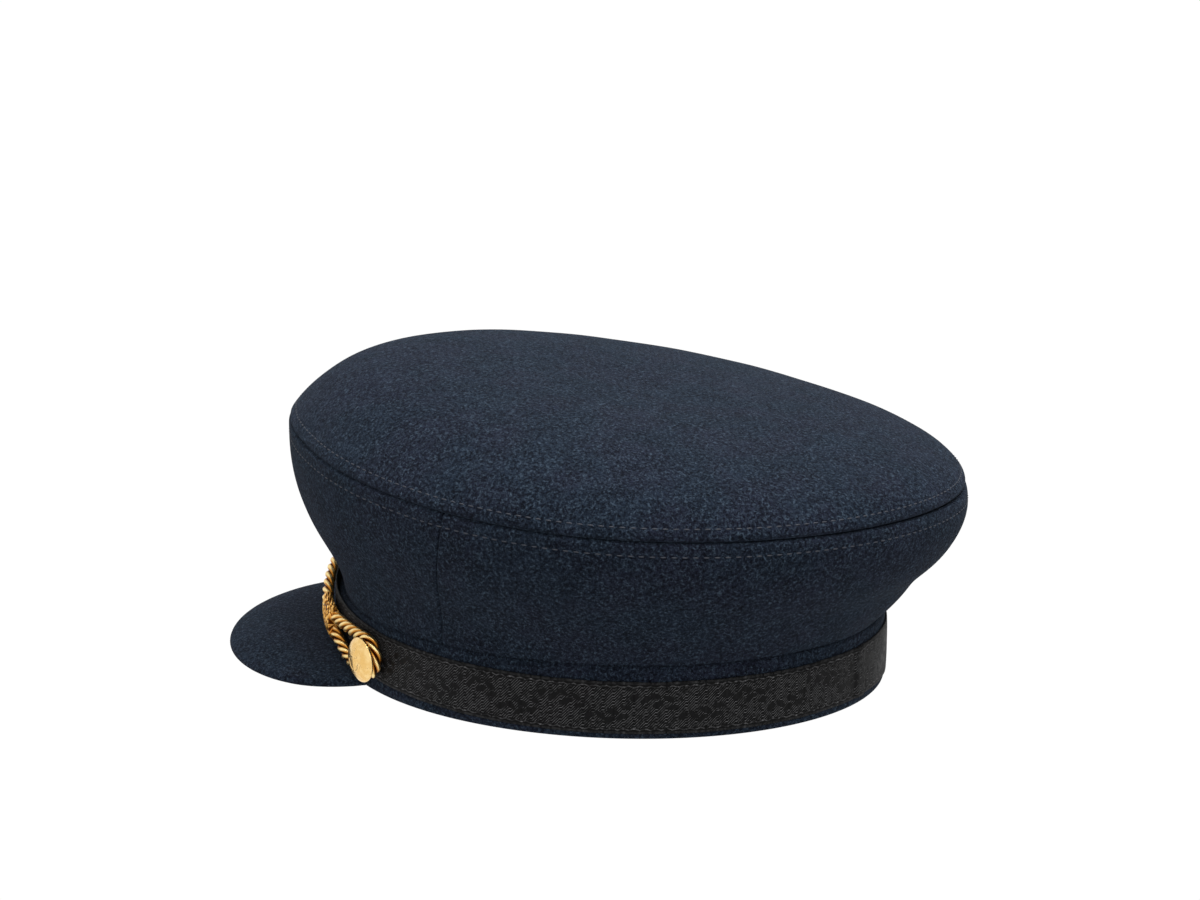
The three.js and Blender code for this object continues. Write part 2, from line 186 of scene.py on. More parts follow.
# Points inside the crown and the band
CROWN_INSIDE = Vector((0, 0, 60))
BAND_INSIDE = Vector((0, 0, 12))
CLOTH_MIDDLE = Vector((0, 4, 62))

DOUBLES_APART = 0.002

band_low, band_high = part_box("head_band")
HEAD_CENTRE = Vector(
    ((band_low.x + band_high.x) / 2, band_high.y - BAND_HALF_LENGTH * MM, band_low.z)
)


# Shapes of the hat


def between(low, high, share):
    return low + (high - low) * share


def arc(start, end, steps):
    """Angles from one number of degrees to another."""
    return [radians(between(start, end, i / steps)) for i in range(steps + 1)]


def smooth(share):
    share = min(1.0, max(0.0, share))
    return share * share * (3 - 2 * share)


def oval_point(turn, out, height, swell=FRONT_SWELL):
    half_length = BAND_HALF_LENGTH + out + swell * max(0.0, cos(turn)) ** 4
    return Vector(((BAND_HALF_WIDTH + out) * sin(turn), -half_length * cos(turn), height))


def outward_at(point):
    """The level direction away from the head at a point."""
    return Vector((point.x / BAND_HALF_WIDTH**2, point.y / BAND_HALF_LENGTH**2, 0)).normalized()


def by_place(rows, column, along):
    """The value of a column between its front, middle and back rows, for along from 1 to -1."""
    front, middle, back = (getattr(row, column) for row in rows)
    return middle + (front - back) / 2 * along + ((front + back) / 2 - middle) * along**2


def settled(point):
    """The point moved by the slight unevenness of steamed cloth."""
    away = (point - CLOTH_MIDDLE).normalized()
    broad = BROAD_HEIGHT * noise.noise(point / BROAD_WAVE)
    narrow = NARROW_HEIGHT * noise.noise(point / NARROW_WAVE + Vector((7, 3, 1)))
    fade = smooth((point.z - CROWN_FOOT) / WAVE_FADE)
    return point + away * fade * (broad + narrow)


def top_point(turn, share):
    """A point of the crown's top, share out from its middle towards the rim."""
    along = share * cos(turn)
    across = share * sin(turn)
    rim = RIM_HEIGHT * by_place(TOP_SHAPES, "rim", along)
    dome = DOME_HEIGHT * by_place(TOP_SHAPES, "dome", along)
    square_across = by_place(TOP_SHAPES, "across", along)
    square_down = by_place(TOP_SHAPES, "down", along)
    half_length = BAND_HALF_LENGTH + (BACK_OVERHANG + FRONT_OVERHANG) / 2
    return Vector(
        (
            CROWN_HALF_WIDTH * across * (1 - CROWN_PINCH * along * along),
            (BACK_OVERHANG - FRONT_OVERHANG) / 2 - half_length * along,
            rim + dome * max(0.0, 1 - share**square_across) ** (1 / square_down),
        )
    )


def side_point(turn, share):
    """A point of the crown's side, share up from the band to the rim."""
    along = cos(turn)
    leave = by_place(SIDE_SHAPES, "leave", along)
    fall = by_place(SIDE_SHAPES, "fall", along)
    swell = by_place(SIDE_SHAPES, "swell", along)
    rest = 1 - share
    first = 3 * share * rest * rest
    second = 3 * share * share * rest
    out = first * leave + second * (1 + swell) + share**3
    up = first / 3 + second * (1 - fall) + share**3
    foot = oval_point(turn, 0, CROWN_FOOT, 0)
    rim = top_point(turn, 1)
    point = foot.lerp(rim, out)
    point.z = between(CROWN_FOOT, rim.z, up)
    near_fold = exp(-(((point.z - CROWN_FOOT - FOLD_RISE) / FOLD_SPREAD) ** 2))
    at_back = max(0.0, -along) ** 4
    return point - oval_point(turn, 0, 0).normalized() * FOLD_DEPTH * near_fold * at_back


def seam_turn(share):
    return between(SEAM_TURN_LOW, SEAM_TURN_HIGH, share)


def turn_at_place(place, share):
    """The turn for a place counted between the side seams, 0 to 1 over the front panel."""
    seam = seam_turn(share)
    if place <= 1:
        return seam * (2 * place - 1)
    return seam + (tau - 2 * seam) * (place - 1)


def place_at_turn(turn):
    """The place between the side seams at a turn on the rim."""
    seam = SEAM_TURN_HIGH
    turn = (turn + seam) % tau - seam
    if turn <= seam:
        return (turn / seam + 1) / 2
    return 1 + (turn - seam) / (tau - 2 * seam)


class Line:
    """A curve measured along its length."""

    def __init__(self, curve, steps):
        self.points = [curve(i / steps) for i in range(steps + 1)]
        self.lengths = [0.0]
        for here, there in zip(self.points, self.points[1:]):
            self.lengths.append(self.lengths[-1] + (there - here).length)
        self.length = self.lengths[-1]

    def at(self, length):
        i = min(max(bisect.bisect_right(self.lengths, length), 1), len(self.points) - 1)
        span = self.lengths[i] - self.lengths[i - 1]
        share = (length - self.lengths[i - 1]) / span if span else 0.0
        return self.points[i - 1].lerp(self.points[i], share)


@functools.lru_cache(maxsize=None)
def top_line(turn):
    """The crown's top from the rim to its middle."""
    return Line(lambda t: settled(top_point(turn, cos(pi / 2 * t))), 150)


@functools.lru_cache(maxsize=None)
def side_line(place):
    """The crown's side from the rim down to the band."""
    return Line(lambda t: settled(side_point(turn_at_place(place, 1 - t), 1 - t)), 90)


rim_line = Line(lambda t: top_point(tau * t, 1), 720)
band_line = Line(lambda t: oval_point(tau * t, 0, 0), 720)


def length_at_turn(line, turn):
    """The length along a line that goes once round the head."""
    share = (turn / tau) % 1
    return line.lengths[round(share * (len(line.points) - 1))]


# Meshes


def as_object(name, mesh, finish, replaced=()):
    """Makes a finished mesh an object in the hat's frame."""
    bmesh.ops.scale(mesh, vec=(MM, MM, MM), verts=mesh.verts)
    bmesh.ops.translate(mesh, vec=HEAD_CENTRE, verts=mesh.verts)
    for face in mesh.faces:
        face.smooth = True
    data = bpy.data.meshes.new(name)
    mesh.to_mesh(data)
    mesh.free()
    made = bpy.data.objects.new(name, data)
    bpy.context.scene.collection.objects.link(made)
    data.materials.append(finish)
    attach(made, "root")
    if replaced:
        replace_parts(made, *replaced)
    return made


def face_outwards(mesh, centre):
    """Turns an open sheet so that its faces look away from a point."""
    bmesh.ops.recalc_face_normals(mesh, faces=mesh.faces)
    facing = sum(
        face.normal.dot(face.calc_center_median() - centre) * face.calc_area()
        for face in mesh.faces
    )
    if facing < 0:
        bmesh.ops.reverse_faces(mesh, faces=mesh.faces)


def shaped_grid(columns, rows, place, closed=False):
    """A grid moved into shape. Place gives each vertex its point, its spot on the cloth and how
    far a seam or stitch draws it in, from its shares across and up the grid."""
    mesh = bmesh.new()
    bmesh.ops.create_grid(mesh, x_segments=columns, y_segments=rows, size=0.5)
    sink = mesh.verts.layers.float.new("sink")
    cloth = mesh.loops.layers.uv.new("cloth")
    spots = {}
    for vert in mesh.verts:
        across = round((vert.co.x + 0.5) * columns) / columns
        up = round((vert.co.y + 0.5) * rows) / rows
        point, spot, depth = place(across, up)
        vert.co = point
        vert[sink] = depth
        spots[vert] = Vector(spot) * MM
    for face in mesh.faces:
        for loop in face.loops:
            loop[cloth].uv = spots[loop.vert]
    if closed:
        bmesh.ops.remove_doubles(mesh, verts=mesh.verts, dist=DOUBLES_APART)
    return mesh


def draw_in(mesh):
    """Sinks each vertex by its own depth, against its normal."""
    sink = mesh.verts.layers.float["sink"]
    mesh.normal_update()
    moves = [(vert, vert.normal * vert[sink]) for vert in mesh.verts]
    for vert, move in moves:
        vert.co = vert.co - move


def thicken(made, wall):
    """Gives an open sheet of cloth its thickness, inwards."""
    solid = made.modifiers.new("wall", "SOLIDIFY")
    solid.thickness = wall * MM
    solid.offset = -1


def add_to(whole, mesh):
    """Adds a mesh to a larger one."""
    part = bpy.data.meshes.new("part")
    mesh.to_mesh(part)
    mesh.free()
    whole.from_mesh(part)
    bpy.data.meshes.remove(part)


def fill_ends(mesh):
    edges = [edge for edge in mesh.edges if edge.is_boundary]
    if edges:
        bmesh.ops.holes_fill(mesh, edges=edges, sides=0)


def seam_dip(distance, depth=SEAM_DEPTH, width=SEAM_WIDTH):
    return depth * exp(-((distance / width) ** 2))


def rim_dip(distance):
    """How far the rim's seam and its topstitching draw the cloth in."""
    return seam_dip(distance) + seam_dip(distance - STITCH_AWAY, STITCH_DEPTH, STITCH_WIDTH)


def towards_ends(share, tightness=0.9):
    """Crowds the steps of a share towards 0 and 1."""
    return share - tightness * sin(tau * share) / tau


# Shader maths


class Socket:
    """A node's output. Arithmetic with it adds Math nodes."""

    def __init__(self, finish, output):
        self.finish = finish
        self.output = output

    def __add__(self, other):
        return self.finish.math("ADD", self, other)

    __radd__ = __add__

    def __sub__(self, other):
        return self.finish.math("SUBTRACT", self, other)

    def __rsub__(self, other):
        return self.finish.math("SUBTRACT", other, self)

    def __mul__(self, other):
        return self.finish.math("MULTIPLY", self, other)

    __rmul__ = __mul__

    def __truediv__(self, other):
        return self.finish.math("DIVIDE", self, other)

    def __abs__(self):
        return self.finish.math("ABSOLUTE", self)

    def other(self, name):
        """Another output of the same node."""
        return Socket(self.finish, self.output.node.outputs[name])


class Finish:
    """A material and the nodes that give it its look."""

    def __init__(self, name, uniform):
        self.material = bpy.data.materials.new(name)
        self.material.use_nodes = True
        self.tree = self.material.node_tree
        self.surface = self.tree.nodes["Principled BSDF"]
        for key, value in uniform.items():
            self.surface.inputs[key].default_value = value

    def node(self, kind, settings=None, inputs=None, output=0):
        made = self.tree.nodes.new(kind)
        for key, value in (settings or {}).items():
            setattr(made, key, value)
        for key, value in (inputs or {}).items():
            if isinstance(value, Socket):
                self.tree.links.new(value.output, made.inputs[key])
            else:
                made.inputs[key].default_value = value
        return Socket(self, made.outputs[output])

    def math(self, operation, *values):
        return self.node("ShaderNodeMath", {"operation": operation}, dict(enumerate(values)))

    def limited(self, value):
        return self.node(
            "ShaderNodeMath", {"operation": "ADD", "use_clamp": True}, {0: value, 1: 0.0}
        )

    def step(self, value, low, high):
        """0 below low and 1 above high, with a soft change between."""
        return self.node(
            "ShaderNodeMapRange",
            {"interpolation_type": "SMOOTHSTEP"},
            {"Value": value, "From Min": low, "From Max": high},
        )

    def wave(self, value):
        """From 0 to 1 and back each time that the value grows by 1."""
        return 0.5 + 0.5 * self.math("COSINE", value * tau)

    def colour(self, factor, low, high):
        return self.node(
            "ShaderNodeMix", {"data_type": "RGBA"}, {0: factor, 6: low, 7: high}, output=2
        )

    def noise(self, place, scale, detail=2.0, seed=0.0, distortion=0.0):
        return self.node(
            "ShaderNodeTexNoise",
            {"noise_dimensions": "4D"},
            {
                "Vector": place,
                "W": seed,
                "Scale": scale,
                "Detail": detail,
                "Distortion": distortion,
            },
        )

    def place(self):
        return self.node("ShaderNodeTexCoord", output="Object")

    def spot(self):
        """The lengths along and up the cloth, in millimetres."""
        found = self.node("ShaderNodeUVMap", {"uv_map": "cloth"})
        enlarged = self.node(
            "ShaderNodeVectorMath", {"operation": "SCALE"}, {0: found, "Scale": 1 / MM}
        )
        parts = self.node("ShaderNodeSeparateXYZ", inputs={0: enlarged})
        return parts, parts.other("Y")

    def feed(self, name, value):
        self.tree.links.new(value.output, self.surface.inputs[name])

    def bump(self, height, distance, strength=1.0):
        self.feed(
            "Normal",
            self.node(
                "ShaderNodeBump",
                inputs={"Height": height, "Distance": distance, "Strength": strength},
            ),
        )


def wool_finish():
    """Felted navy wool: a tangle of short fibres over a soft, mottled ground."""
    wool = Finish(
        "navy_wool",
        {
            "Roughness": 0.95,
            "Specular IOR Level": 0.045,
            "Sheen Weight": 0.03,
            "Sheen Roughness": 0.5,
            "Sheen Tint": (0.55, 0.72, 1.0, 1.0),
        },
    )
    place = wool.place()

    def fibres(scale, seed, width):
        field = wool.noise(place, scale, detail=1.5, seed=seed, distortion=0.8)
        return wool.step(abs(field - 0.5), width, 0.0)

    ground = wool.noise(place, 2100, detail=2.0, seed=1.0)
    tufts = wool.noise(place, 900, detail=3.0, seed=6.0)
    clouds = wool.noise(place, 110, detail=4.0, seed=2.0)
    patches = wool.noise(place, 40, detail=4.0, seed=3.0)
    hairs = wool.limited(fibres(520, 4.0, 0.045) * 0.7 + fibres(900, 5.0, 0.05) * 0.5)
    sparse = hairs * wool.step(tufts, 0.42, 0.6)
    tone = wool.step(ground * 0.45 + tufts * 0.4 + clouds * 0.15, 0.38, 0.62)
    blue_shade = (0.001, 0.0018, 0.0038, 1.0)
    blue_light = (0.0093, 0.0148, 0.0252, 1.0)
    violet_shade = (0.0015, 0.0016, 0.0036, 1.0)
    violet_light = (0.0115, 0.0124, 0.0235, 1.0)
    pale_fibre = (0.04, 0.06, 0.084, 1.0)
    blue = wool.colour(tone, blue_shade, blue_light)
    violet = wool.colour(tone, violet_shade, violet_light)
    mixed = wool.colour(wool.step(patches, 0.4, 0.6) * 0.6, blue, violet)
    wool.feed("Base Color", wool.colour(sparse * 0.8, mixed, pale_fibre))
    wool.bump(ground * 0.5 + tufts * 0.7 + hairs * 0.5, 0.0006, 0.8)
    return wool.material


Leaf = namedtuple("Leaf", "along up angle long wide")
LEAVES = (
    Leaf(3.2, 12.6, 40, 2.3, 1.0),
    Leaf(6.4, 14.2, -25, 2.2, 1.0),
    Leaf(7.6, 11.2, 28, 2.4, 1.1),
    Leaf(11.2, 12.9, -30, 2.3, 1.0),
    Leaf(12.2, 9.8, 15, 2.0, 0.9),
    Leaf(15.6, 6.4, 35, 2.0, 1.2),
    Leaf(19.4, 6.9, -40, 2.3, 1.0),
    Leaf(22.4, 5.2, 30, 2.2, 1.0),
    Leaf(23.8, 8.3, -22, 2.3, 1.1),
    Leaf(27.2, 6.4, 25, 2.2, 1.0),
    Leaf(28.6, 9.8, -12, 2.0, 0.9),
    Leaf(31.2, 13.6, 50, 1.8, 1.1),
)
LEAF_REPEAT = 32.0


def ribbon_finish():
    """Black ribbon with smooth leaves on a ribbed ground, a zigzag and plain woven edges. The
    raised threads, the zigzag, the edge ribs and fine lines on the leaves are painted lighter
    grey as sheen on the black thread.
    """
    weave = Finish("black_ribbon", {"Specular IOR Level": 0.07})
    along, up = weave.spot()
    tile = weave.math("FLOORED_MODULO", along, LEAF_REPEAT)
    leaves = None
    for leaf in LEAVES:
        cosine, sine = cos(radians(leaf.angle)), sin(radians(leaf.angle))
        away = weave.math("WRAP", tile - leaf.along, LEAF_REPEAT / 2, -LEAF_REPEAT / 2)
        rise = up - leaf.up
        length = (away * cosine + rise * sine) / leaf.long
        width = (rise * cosine - away * sine) / leaf.wide
        inside = weave.step(length * length + width * width, 1.1, 0.8)
        leaves = inside if leaves is None else weave.math("MAXIMUM", leaves, inside)
    sway = 0.5 * weave.noise(weave.place(), 90, detail=2.0)
    ribs = weave.wave(along / 1.2 - up / 1.05 + sway)
    beads = weave.wave(along / 0.95 + up / 0.62)
    ground = weave.step(ribs * 0.6 + beads * 0.4, 0.58, 0.84)
    from_edge = weave.math("MINIMUM", up, RIBBON_WIDTH - up)
    zigzag = 1.35 + 0.6 * weave.math("PINGPONG", along / 1.9, 1.0)
    border = weave.step(abs(from_edge - zigzag), 0.34, 0.16) * weave.wave(along / 0.5)
    selvedge = weave.step(from_edge, 0.95, 0.75)
    edge_ribs = weave.wave(along / 0.45) * selvedge
    open_ground = ground * (1 - leaves) * weave.step(from_edge, 2.1, 2.4)
    threads = weave.limited(open_ground + border * 0.8 + edge_ribs * 0.25)
    satin = weave.wave(along / 0.3) * 0.05 * leaves
    slub = weave.noise(weave.place(), 700, detail=3.0)
    # Painted sheen: lit is how much lighter than the black thread the raised threads, the
    # zigzag, the edge ribs and the satin lines are painted.
    lit = weave.limited(threads * (0.25 + 1.3 * weave.step(slub, 0.38, 0.62)) + satin)
    black = (0.0016, 0.0016, 0.0018, 1.0)
    painted_thread_sheen = (0.085, 0.085, 0.088, 1.0)
    weave.feed("Base Color", weave.colour(lit, black, painted_thread_sheen))
    weave.feed("Roughness", 0.62 - 0.14 * leaves)
    weave.bump(threads + satin, 0.00022, 0.8)
    return weave.material


def stamped_finish():
    """Pale gold metal, a little darker round the stamped figure and where it is worn."""
    gold = Finish("gilt_button", {"Metallic": 1.0})
    relief, _ = gold.spot()
    place = gold.place()
    wear = gold.noise(place, 420, detail=4.0)
    specks = gold.noise(place, 1500, detail=2.0, seed=2.0)
    edge = gold.step(abs(relief - 0.5), 0.48, 0.2) * gold.step(wear, 0.4, 0.6)
    marks = gold.limited(edge * 0.75 + gold.step(specks, 0.64, 0.72) * 0.6)
    rich = (0.82, 0.52, 0.18, 1.0)
    pale = (0.93, 0.66, 0.29, 1.0)
    tarnish = (0.45, 0.22, 0.05, 1.0)
    worn = gold.colour(gold.step(wear, 0.35, 0.65), rich, pale)
    gold.feed("Base Color", gold.colour(marks, worn, tarnish))
    gold.feed("Roughness", 0.24 + 0.16 * (wear - 0.5))
    gold.bump(wear + 0.3 * specks, 0.00025, 0.7)
    return gold.material


def twist_finish():
    """Gold thread wound closely round each strand, with painted shade where the strands lie
    together and a painted highlight along each strand's outer crest.
    """
    gold = Finish("gilt_thread", {"Metallic": 1.0})
    along, around = gold.spot()
    facing = gold.wave(around)
    wound = gold.wave(along / 0.42 + around)
    tone = gold.noise(gold.place(), 420, detail=3.0)
    # Painted light: the hollow colour is painted shade on the sides of the strands that face
    # each other, and the pale colour is a painted highlight on their outer crests.
    painted_hollow_shade = (0.07, 0.018, 0.002, 1.0)
    orange = (0.56, 0.22, 0.026, 1.0)
    pale = (1.0, 0.8, 0.36, 1.0)
    crest_highlight = gold.step(facing * 0.75 + tone * 0.25 + wound * 0.1, 0.72, 0.97)
    lit = gold.colour(crest_highlight, orange, pale)
    gold.feed("Base Color", gold.colour(gold.step(facing, 0.25, 0.85), painted_hollow_shade, lit))
    gold.feed("Roughness", 0.26 + 0.12 * tone)
    gold.bump(wound, 0.00009, 0.5)
    return gold.material


def cast_finish():
    """Gold metal cast in small grains, with painted shade in the hollows between them and a
    painted highlight on their tops.
    """
    gold = Finish("gilt_keeper", {"Metallic": 1.0})
    grain, _ = gold.spot()
    place = gold.place()
    wear = gold.noise(place, 900, detail=3.0)
    height = grain + 0.5 * (wear - 0.5)
    # Painted light: the dark colour is painted shade in the furrows between the grains, and the
    # pale colour is a painted highlight on the grains' tops.
    painted_hollow_shade = (0.08, 0.02, 0.002, 1.0)
    orange = (0.62, 0.26, 0.035, 1.0)
    pale = (0.98, 0.62, 0.2, 1.0)
    crest_highlight = gold.colour(gold.step(height, 0.45, 1.1), orange, pale)
    gold.feed("Base Color", gold.colour(gold.step(height, 0.1, 0.75), painted_hollow_shade, crest_highlight))
    gold.feed("Roughness", 0.3 + 0.15 * wear)
    gold.bump(gold.noise(place, 2200, detail=2.0, seed=3.0), 0.00012, 0.7)
    return gold.material


def thread_finish():
    navy = (0.006, 0.009, 0.018, 1.0)
    return Finish("navy_thread", {"Base Color": navy, "Roughness": 0.6}).material


wool = wool_finish()
ribbon_weave = ribbon_finish()
rope_gold = twist_finish()
keeper_gold = cast_finish()
button_gold = stamped_finish()
thread = thread_finish()


# Crown


def crown_top():
    crowding = 2.1
    evenness = 0.12

    def place(across, up):
        turn = tau * across
        line = top_line(turn)
        distance = line.length * between(up**crowding, up, evenness)
        dip = rim_dip(distance)
        if up == 0:
            dip += SEAM_TUCK
        return line.at(distance), (length_at_turn(rim_line, turn), distance), dip

    mesh = shaped_grid(360, 84, place, closed=True)
    face_outwards(mesh, CROWN_INSIDE)
    draw_in(mesh)
    made = as_object("crown_top_cloth", mesh, wool, ["crown_top"])
    thicken(made, CLOTH_WALL)
    return made


def side_panel(name, first_place, columns, replaced):
    def place(across, up):
        place_along = first_place + towards_ends(across)
        line = side_line(place_along)
        distance = line.length * towards_ends(up)
        point = line.at(distance)
        to_seam = min(
            (point - seam.at(distance * seam.length / line.length)).length
            for seam in (side_line(first_place), side_line(first_place + 1))
        )
        dip = rim_dip(distance) + seam_dip(to_seam, SIDE_SEAM_DEPTH, SIDE_SEAM_WIDTH)
        if up == 0 or across in (0, 1):
            dip += SEAM_TUCK
        turn = turn_at_place(place_along, 1)
        round_head = Vector((4 * sin(turn), 4 * cos(turn), 0.5))
        foot_depth = FOOT_DEPTH * (1 + FOOT_UNEVENNESS * noise.noise(round_head))
        foot_lap = FOOT_LAP + FRONT_LAP * max(0.0, cos(turn)) ** 4
        foot = line.length - distance
        point = point - outward_at(point) * seam_dip(foot, foot_depth, FOOT_WIDTH)
        point.z -= seam_dip(foot, foot_lap, LAP_WIDTH)
        return point, (length_at_turn(rim_line, turn), -distance), dip

    mesh = shaped_grid(columns, 64, place)
    face_outwards(mesh, CROWN_INSIDE)
    draw_in(mesh)
    made = as_object(name, mesh, wool, [replaced])
    thicken(made, CLOTH_WALL)
    return made


# Band, ribbon and peak


def head_band():
    """The band's wall, with a welt turned under at its lower edge."""
    corner = 0.9
    high_rows = 12
    outline = [(0.0, BAND_HEIGHT * k / high_rows) for k in range(high_rows, 1, -1)]
    outline += [(0.25, 3.0), (0.3, 2.0)]
    outline += [(-corner * (1 - cos(a)), corner * (1 - sin(a))) for a in arc(0, 90, 5)]
    outline += [
        (-BAND_WALL + corner * (1 - sin(a)), corner * (1 - cos(a))) for a in arc(0, 90, 5)
    ]
    outline += [(-BAND_WALL, 4.0), (-BAND_WALL, 12.0), (-BAND_WALL, BAND_HEIGHT)]

    def place(across, up):
        turn = tau * across
        out, height = outline[round(up * len(outline)) % len(outline)]
        return oval_point(turn, out, height), (length_at_turn(band_line, turn), height), 0.0

    mesh = shaped_grid(288, len(outline), place, closed=True)
    bmesh.ops.recalc_face_normals(mesh, faces=mesh.faces)
    return as_object("band_cloth", mesh, wool, ["head_band"])


def ribbon_lift(turn):
    return RIBBON_RISE + RIBBON_TILT * cos(turn) + RIBBON_DIP * cos(2 * turn)


def woven_ribbon():
    lap_turn = RIBBON_LAP / BAND_HALF_LENGTH
    start = RIBBON_JOINT - tau

    def place(across, up):
        turn = start + (tau + lap_turn) * across
        lapped = smooth((turn - RIBBON_JOINT + lap_turn / 2) / (lap_turn / 2))
        at_front = max(0.0, cos(turn))
        out = GAP + lapped * (RIBBON_THICK + 0.2) + RIBBON_FRONT_EASE * at_front**8
        edge = abs(2 * up - 1)
        length = length_at_turn(band_line, turn - start)
        if turn > start + tau - 1e-6:
            length += band_line.length
        pucker = noise.noise(Vector((length / PUCKER_WAVE, up * 1.5, 2))) * PUCKER_HEIGHT
        wander = noise.noise(Vector((length / WANDER_WAVE, 5, up))) * WANDER_HEIGHT
        out += RIBBON_THICK + RIBBON_CROWN * (1 - edge**4) + pucker * (0.4 + 0.6 * edge)
        low = ribbon_lift(turn)
        high = low + RIBBON_WIDTH + RIBBON_FRONT_RISE * at_front**8
        low += RIBBON_FRONT_CLEAR * at_front**4
        height = between(low, high, up) + wander * edge
        point = oval_point(turn, max(out, GAP + RIBBON_THICK), height)
        return point, (length, RIBBON_WIDTH * up), 0.0

    mesh = shaped_grid(900, 16, place)
    face_outwards(mesh, BAND_INSIDE)
    made = as_object("woven_ribbon", mesh, ribbon_weave, ["ribbon"])
    thicken(made, RIBBON_THICK)
    return made


def peak_outline(share):
    """The peak's edge from one end to the other: half an oval with a straighter stretch at
    each end."""
    side_share = 0.12
    waist = PEAK_WAIST - BAND_HALF_LENGTH
    end = oval_point(PEAK_TURN, GAP, 0)
    from_end = min(share, 1 - share) / side_share
    if from_end < 1:
        wide = between(end.x + PEAK_END, PEAK_HALF_WIDTH, 1 - (1 - from_end) ** 2)
        return Vector((-wide if share < 0.5 else wide, between(end.y, waist, from_end), 0))
    sweep = pi * ((share - side_share) / (1 - 2 * side_share) - 0.5)
    return Vector(
        (PEAK_HALF_WIDTH * sin(sweep), waist - (PEAK_REACH + PEAK_WAIST) * cos(sweep), 0)
    )


def peak():
    """A sheet from the band to the outline: its upper face, its rounded edge and its lower
    face are three shares of the grid's rows."""
    half = PEAK_THICK / 2
    face_share = 0.4
    edge_share = 1 - 2 * face_share
    crowding = 0.8
    rise_from = 0.7

    def place(across, up):
        root = oval_point(PEAK_TURN * (2 * across - 1), GAP, 0)
        edge = peak_outline(across)
        width = (edge - root).length
        inset = min(half, width * 0.45) / max(width, 1e-6)
        if up < face_share:
            out, rise = (1 - inset) * (up / face_share) ** crowding, PEAK_THICK
        elif up <= face_share + edge_share:
            angle = pi / 2 - pi * (up - face_share) / edge_share
            out, rise = 1 - inset + inset * cos(angle), half + half * sin(angle)
        else:
            out, rise = (1 - inset) * ((1 - up) / face_share) ** crowding, 0.0
        point = root.lerp(edge, out)
        middle = 1 - abs(point.x / PEAK_HALF_WIDTH) ** 3
        bulge = 4 * out * (1 - out)
        straight = between(LIFT_AT_ROOT, LIFT_AT_EDGE, out)
        lift = PEAK_LIFT * middle * between(straight, 1, bulge)
        to_end = (abs(2 * across - 1) - rise_from) / (1 - rise_from)
        point.z = lift + rise + PEAK_END_RISE * smooth(to_end)
        return point, (point.x, point.y), 0.0

    mesh = shaped_grid(200, 100, place)
    bmesh.ops.remove_doubles(mesh, verts=mesh.verts, dist=DOUBLES_APART)
    fill_ends(mesh)
    bmesh.ops.recalc_face_normals(mesh, faces=mesh.faces)
    return as_object("peak_cloth", mesh, wool, ["peak"])


# Rope, keepers and buttons


def turn_at_length(length, out):
    """The turn at a length round the band from the front, at a distance out from it."""
    step = radians(0.25)
    turn = 0.0
    left = abs(length)
    while left > 0:
        stride = (oval_point(turn, out, 0) - oval_point(turn + step, out, 0)).length
        turn += step * min(1.0, left / stride)
        left -= stride
    return turn if length >= 0 else -turn


BUTTON_PLACE = Line(lambda t: oval_point(BUTTON_TURN * t, ROPE_OUT, 0), 60).length
KEEPER_SLOPE = (BUTTON_RISE - KEEPER_RISE) / (BUTTON_PLACE - KEEPER_PLACE)


def ornament_point(place, height):
    """A point of the ornament's middle line, for a length round the head from the front."""
    away = abs(place)
    if away < KEEPER_PLACE:
        out = between(ROPE_OUT + ROPE_BOW, KEEPER_OUT, smooth(away / KEEPER_PLACE))
    else:
        share = (away - KEEPER_PLACE) / (BUTTON_PLACE - KEEPER_PLACE)
        out = between(KEEPER_OUT, ROPE_OUT, smooth(share))
    return oval_point(turn_at_length(place, ROPE_OUT), out, height)


def rounded(points, rounds=3):
    """Cuts a path's corners until it is smooth."""
    for _ in range(rounds):
        cut = [points[0]]
        for here, there in zip(points, points[1:]):
            cut += [here.lerp(there, 0.25), here.lerp(there, 0.75)]
        points = cut + [points[-1]]
    return points


def loop_path(side):
    """The doubled rope, from the keeper round the button and back."""
    bends = 10
    widest = radians(110)

    def at(place, height):
        return ornament_point(side * place, height)

    mouth = KEEPER_PLACE + KEEPER_HALF_LENGTH
    mouth_rise = KEEPER_RISE + KEEPER_SLOPE * KEEPER_HALF_LENGTH
    spread = 1.2 * ROPE_RADIUS
    points = [at(KEEPER_PLACE, KEEPER_RISE + ROPE_RADIUS), at(mouth, mouth_rise + spread)]
    for i in range(bends + 1):
        angle = widest * (1 - 2 * i / bends)
        place = BUTTON_PLACE + LOOP_SHIFT + LOOP_RADIUS * cos(angle)
        points.append(at(place, BUTTON_RISE + LOOP_LIFT + LOOP_RADIUS * sin(angle)))
    points.append(at(BUTTON_PLACE - LEG_SAG_PLACE, LEG_SAG_RISE))
    points += [at(mouth, mouth_rise - spread), at(KEEPER_PLACE, KEEPER_RISE - ROPE_RADIUS)]
    return rounded(points)


def front_path():
    """The single rope over the front, from one keeper to the other."""
    steps = 48
    sharpness = 1.3
    points = []
    for i in range(steps + 1):
        share = 2 * i / steps - 1
        fall = (ROPE_RISE - KEEPER_RISE) * abs(share) ** sharpness
        points.append(ornament_point(share * KEEPER_PLACE, ROPE_RISE - fall))
    return rounded(points, 1)


